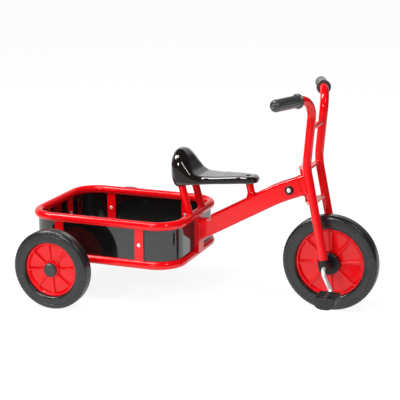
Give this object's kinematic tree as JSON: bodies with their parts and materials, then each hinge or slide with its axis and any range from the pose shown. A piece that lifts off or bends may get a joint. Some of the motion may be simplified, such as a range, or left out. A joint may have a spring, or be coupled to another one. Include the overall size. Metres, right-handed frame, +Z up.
{
  "type": "children's tricycle",
  "caption": "Children's tricycle with a red tube frame, black saddle, pedals on the front wheel and a cargo tray with black walls between the rear wheels",
  "frame": {"origin": "on the ground, under the middle of the overall box", "axes": "+X forward, along the longest extent; +Y to the rider's left; +Z up"},
  "size_m": [1.023, 0.59, 0.6432],
  "materials": {
    "red_paint": "glossy powder coat",
    "red_plastic": "satin moulded",
    "black_gloss": "high gloss",
    "black_floor": "fine grain",
    "black_plastic": "moulded",
    "grip_rubber": "satin rubber",
    "tyre_rubber": "solid rubber",
    "bright_steel": "plated"
  },
  "bodies": {
    "frame": {"main_beam": "red_paint", "head_tube": "red_paint", "head_bush_lower": "black_plastic", "head_bush_upper": "black_plastic", "beam_bolt": "bright_steel", "beam_bolt_nut": "bright_steel", "cup_washers": "black_plastic", "front_upright": "red_paint", "tray_top_rail": "red_paint", "tray_bottom_rail": "red_paint", "tray_panel": "black_gloss", "wall_posts_rear": "red_paint", "wall_strips": "red_paint", "panel_screws": "bright_steel", "panel_nuts": "bright_steel", "tray_floor": "black_floor", "cross_members": "red_paint", "floor_screws": "bright_steel", "axle_tube": "red_paint", "rear_axle": "bright_steel", "axle_lock_washers": "bright_steel", "seat_shell": "black_gloss", "seat_front_post": "red_paint", "seat_screw": "bright_steel", "wall_posts_left": "red_paint", "wall_posts_right": "red_paint", "seat_strut_left": "red_paint", "seat_strut_right": "red_paint"},
    "fork": {"crown_plate_lower": "red_paint", "crown_plate_upper": "red_paint", "handlebar_crossbar": "red_paint", "steering_pin": "bright_steel", "steering_nut": "bright_steel", "fork_leg_left": "red_paint", "fork_leg_right": "red_paint", "grip_left": "grip_rubber", "grip_right": "grip_rubber", "bearing_holder_left": "black_plastic", "bearing_holder_right": "black_plastic"},
    "front_wheel": {"front_tyre": "tyre_rubber", "crank_axle": "bright_steel", "drive_pins": "bright_steel", "pedal_locks": "bright_steel", "front_disc_left": "red_plastic", "front_disc_right": "red_plastic", "hub_flange_left": "black_plastic", "hub_flange_right": "black_plastic"},
    "pedal_left_body": {"pedal_left": "black_plastic", "pedal_cap_left": "black_plastic"},
    "rear_wheel_left": {"rear_tyre_left": "tyre_rubber", "rear_disc_left": "red_plastic", "rear_bush_left": "black_plastic", "hub_cap_left": "black_plastic"},
    "pedal_right_body": {"pedal_right": "black_plastic", "pedal_cap_right": "black_plastic"},
    "rear_wheel_right": {"rear_tyre_right": "tyre_rubber", "rear_disc_right": "red_plastic", "rear_bush_right": "black_plastic", "hub_cap_right": "black_plastic"}
  },
  "joints": [
    {"name": "steering", "type": "hinge", "parent": "frame", "child": "fork", "pos_m": [0.29971, 0, 0.36542], "axis": [-0.2011, 0, 0.9796], "range_deg": [-45, 45]},
    {"name": "front_wheel_spin", "type": "hinge", "parent": "fork", "child": "front_wheel", "pos_m": [0.3715, 0, 0.14], "axis": [0, 1, 0], "continuous": true},
    {"name": "pedal_left_spin", "type": "hinge", "parent": "front_wheel", "child": "pedal_left_body", "pos_m": [0.34081, 0.146, 0.20292], "axis": [0, 1, 0], "continuous": true},
    {"name": "rear_wheel_left_spin", "type": "hinge", "parent": "frame", "child": "rear_wheel_left", "pos_m": [-0.3795, 0.2735, 0.117], "axis": [0, 1, 0], "continuous": true},
    {"name": "pedal_right_spin", "type": "hinge", "parent": "front_wheel", "child": "pedal_right_body", "pos_m": [0.40219, -0.146, 0.07708], "axis": [0, 1, 0], "continuous": true},
    {"name": "rear_wheel_right_spin", "type": "hinge", "parent": "frame", "child": "rear_wheel_right", "pos_m": [-0.3795, -0.2735, 0.117], "axis": [0, 1, 0], "continuous": true}
  ]
}
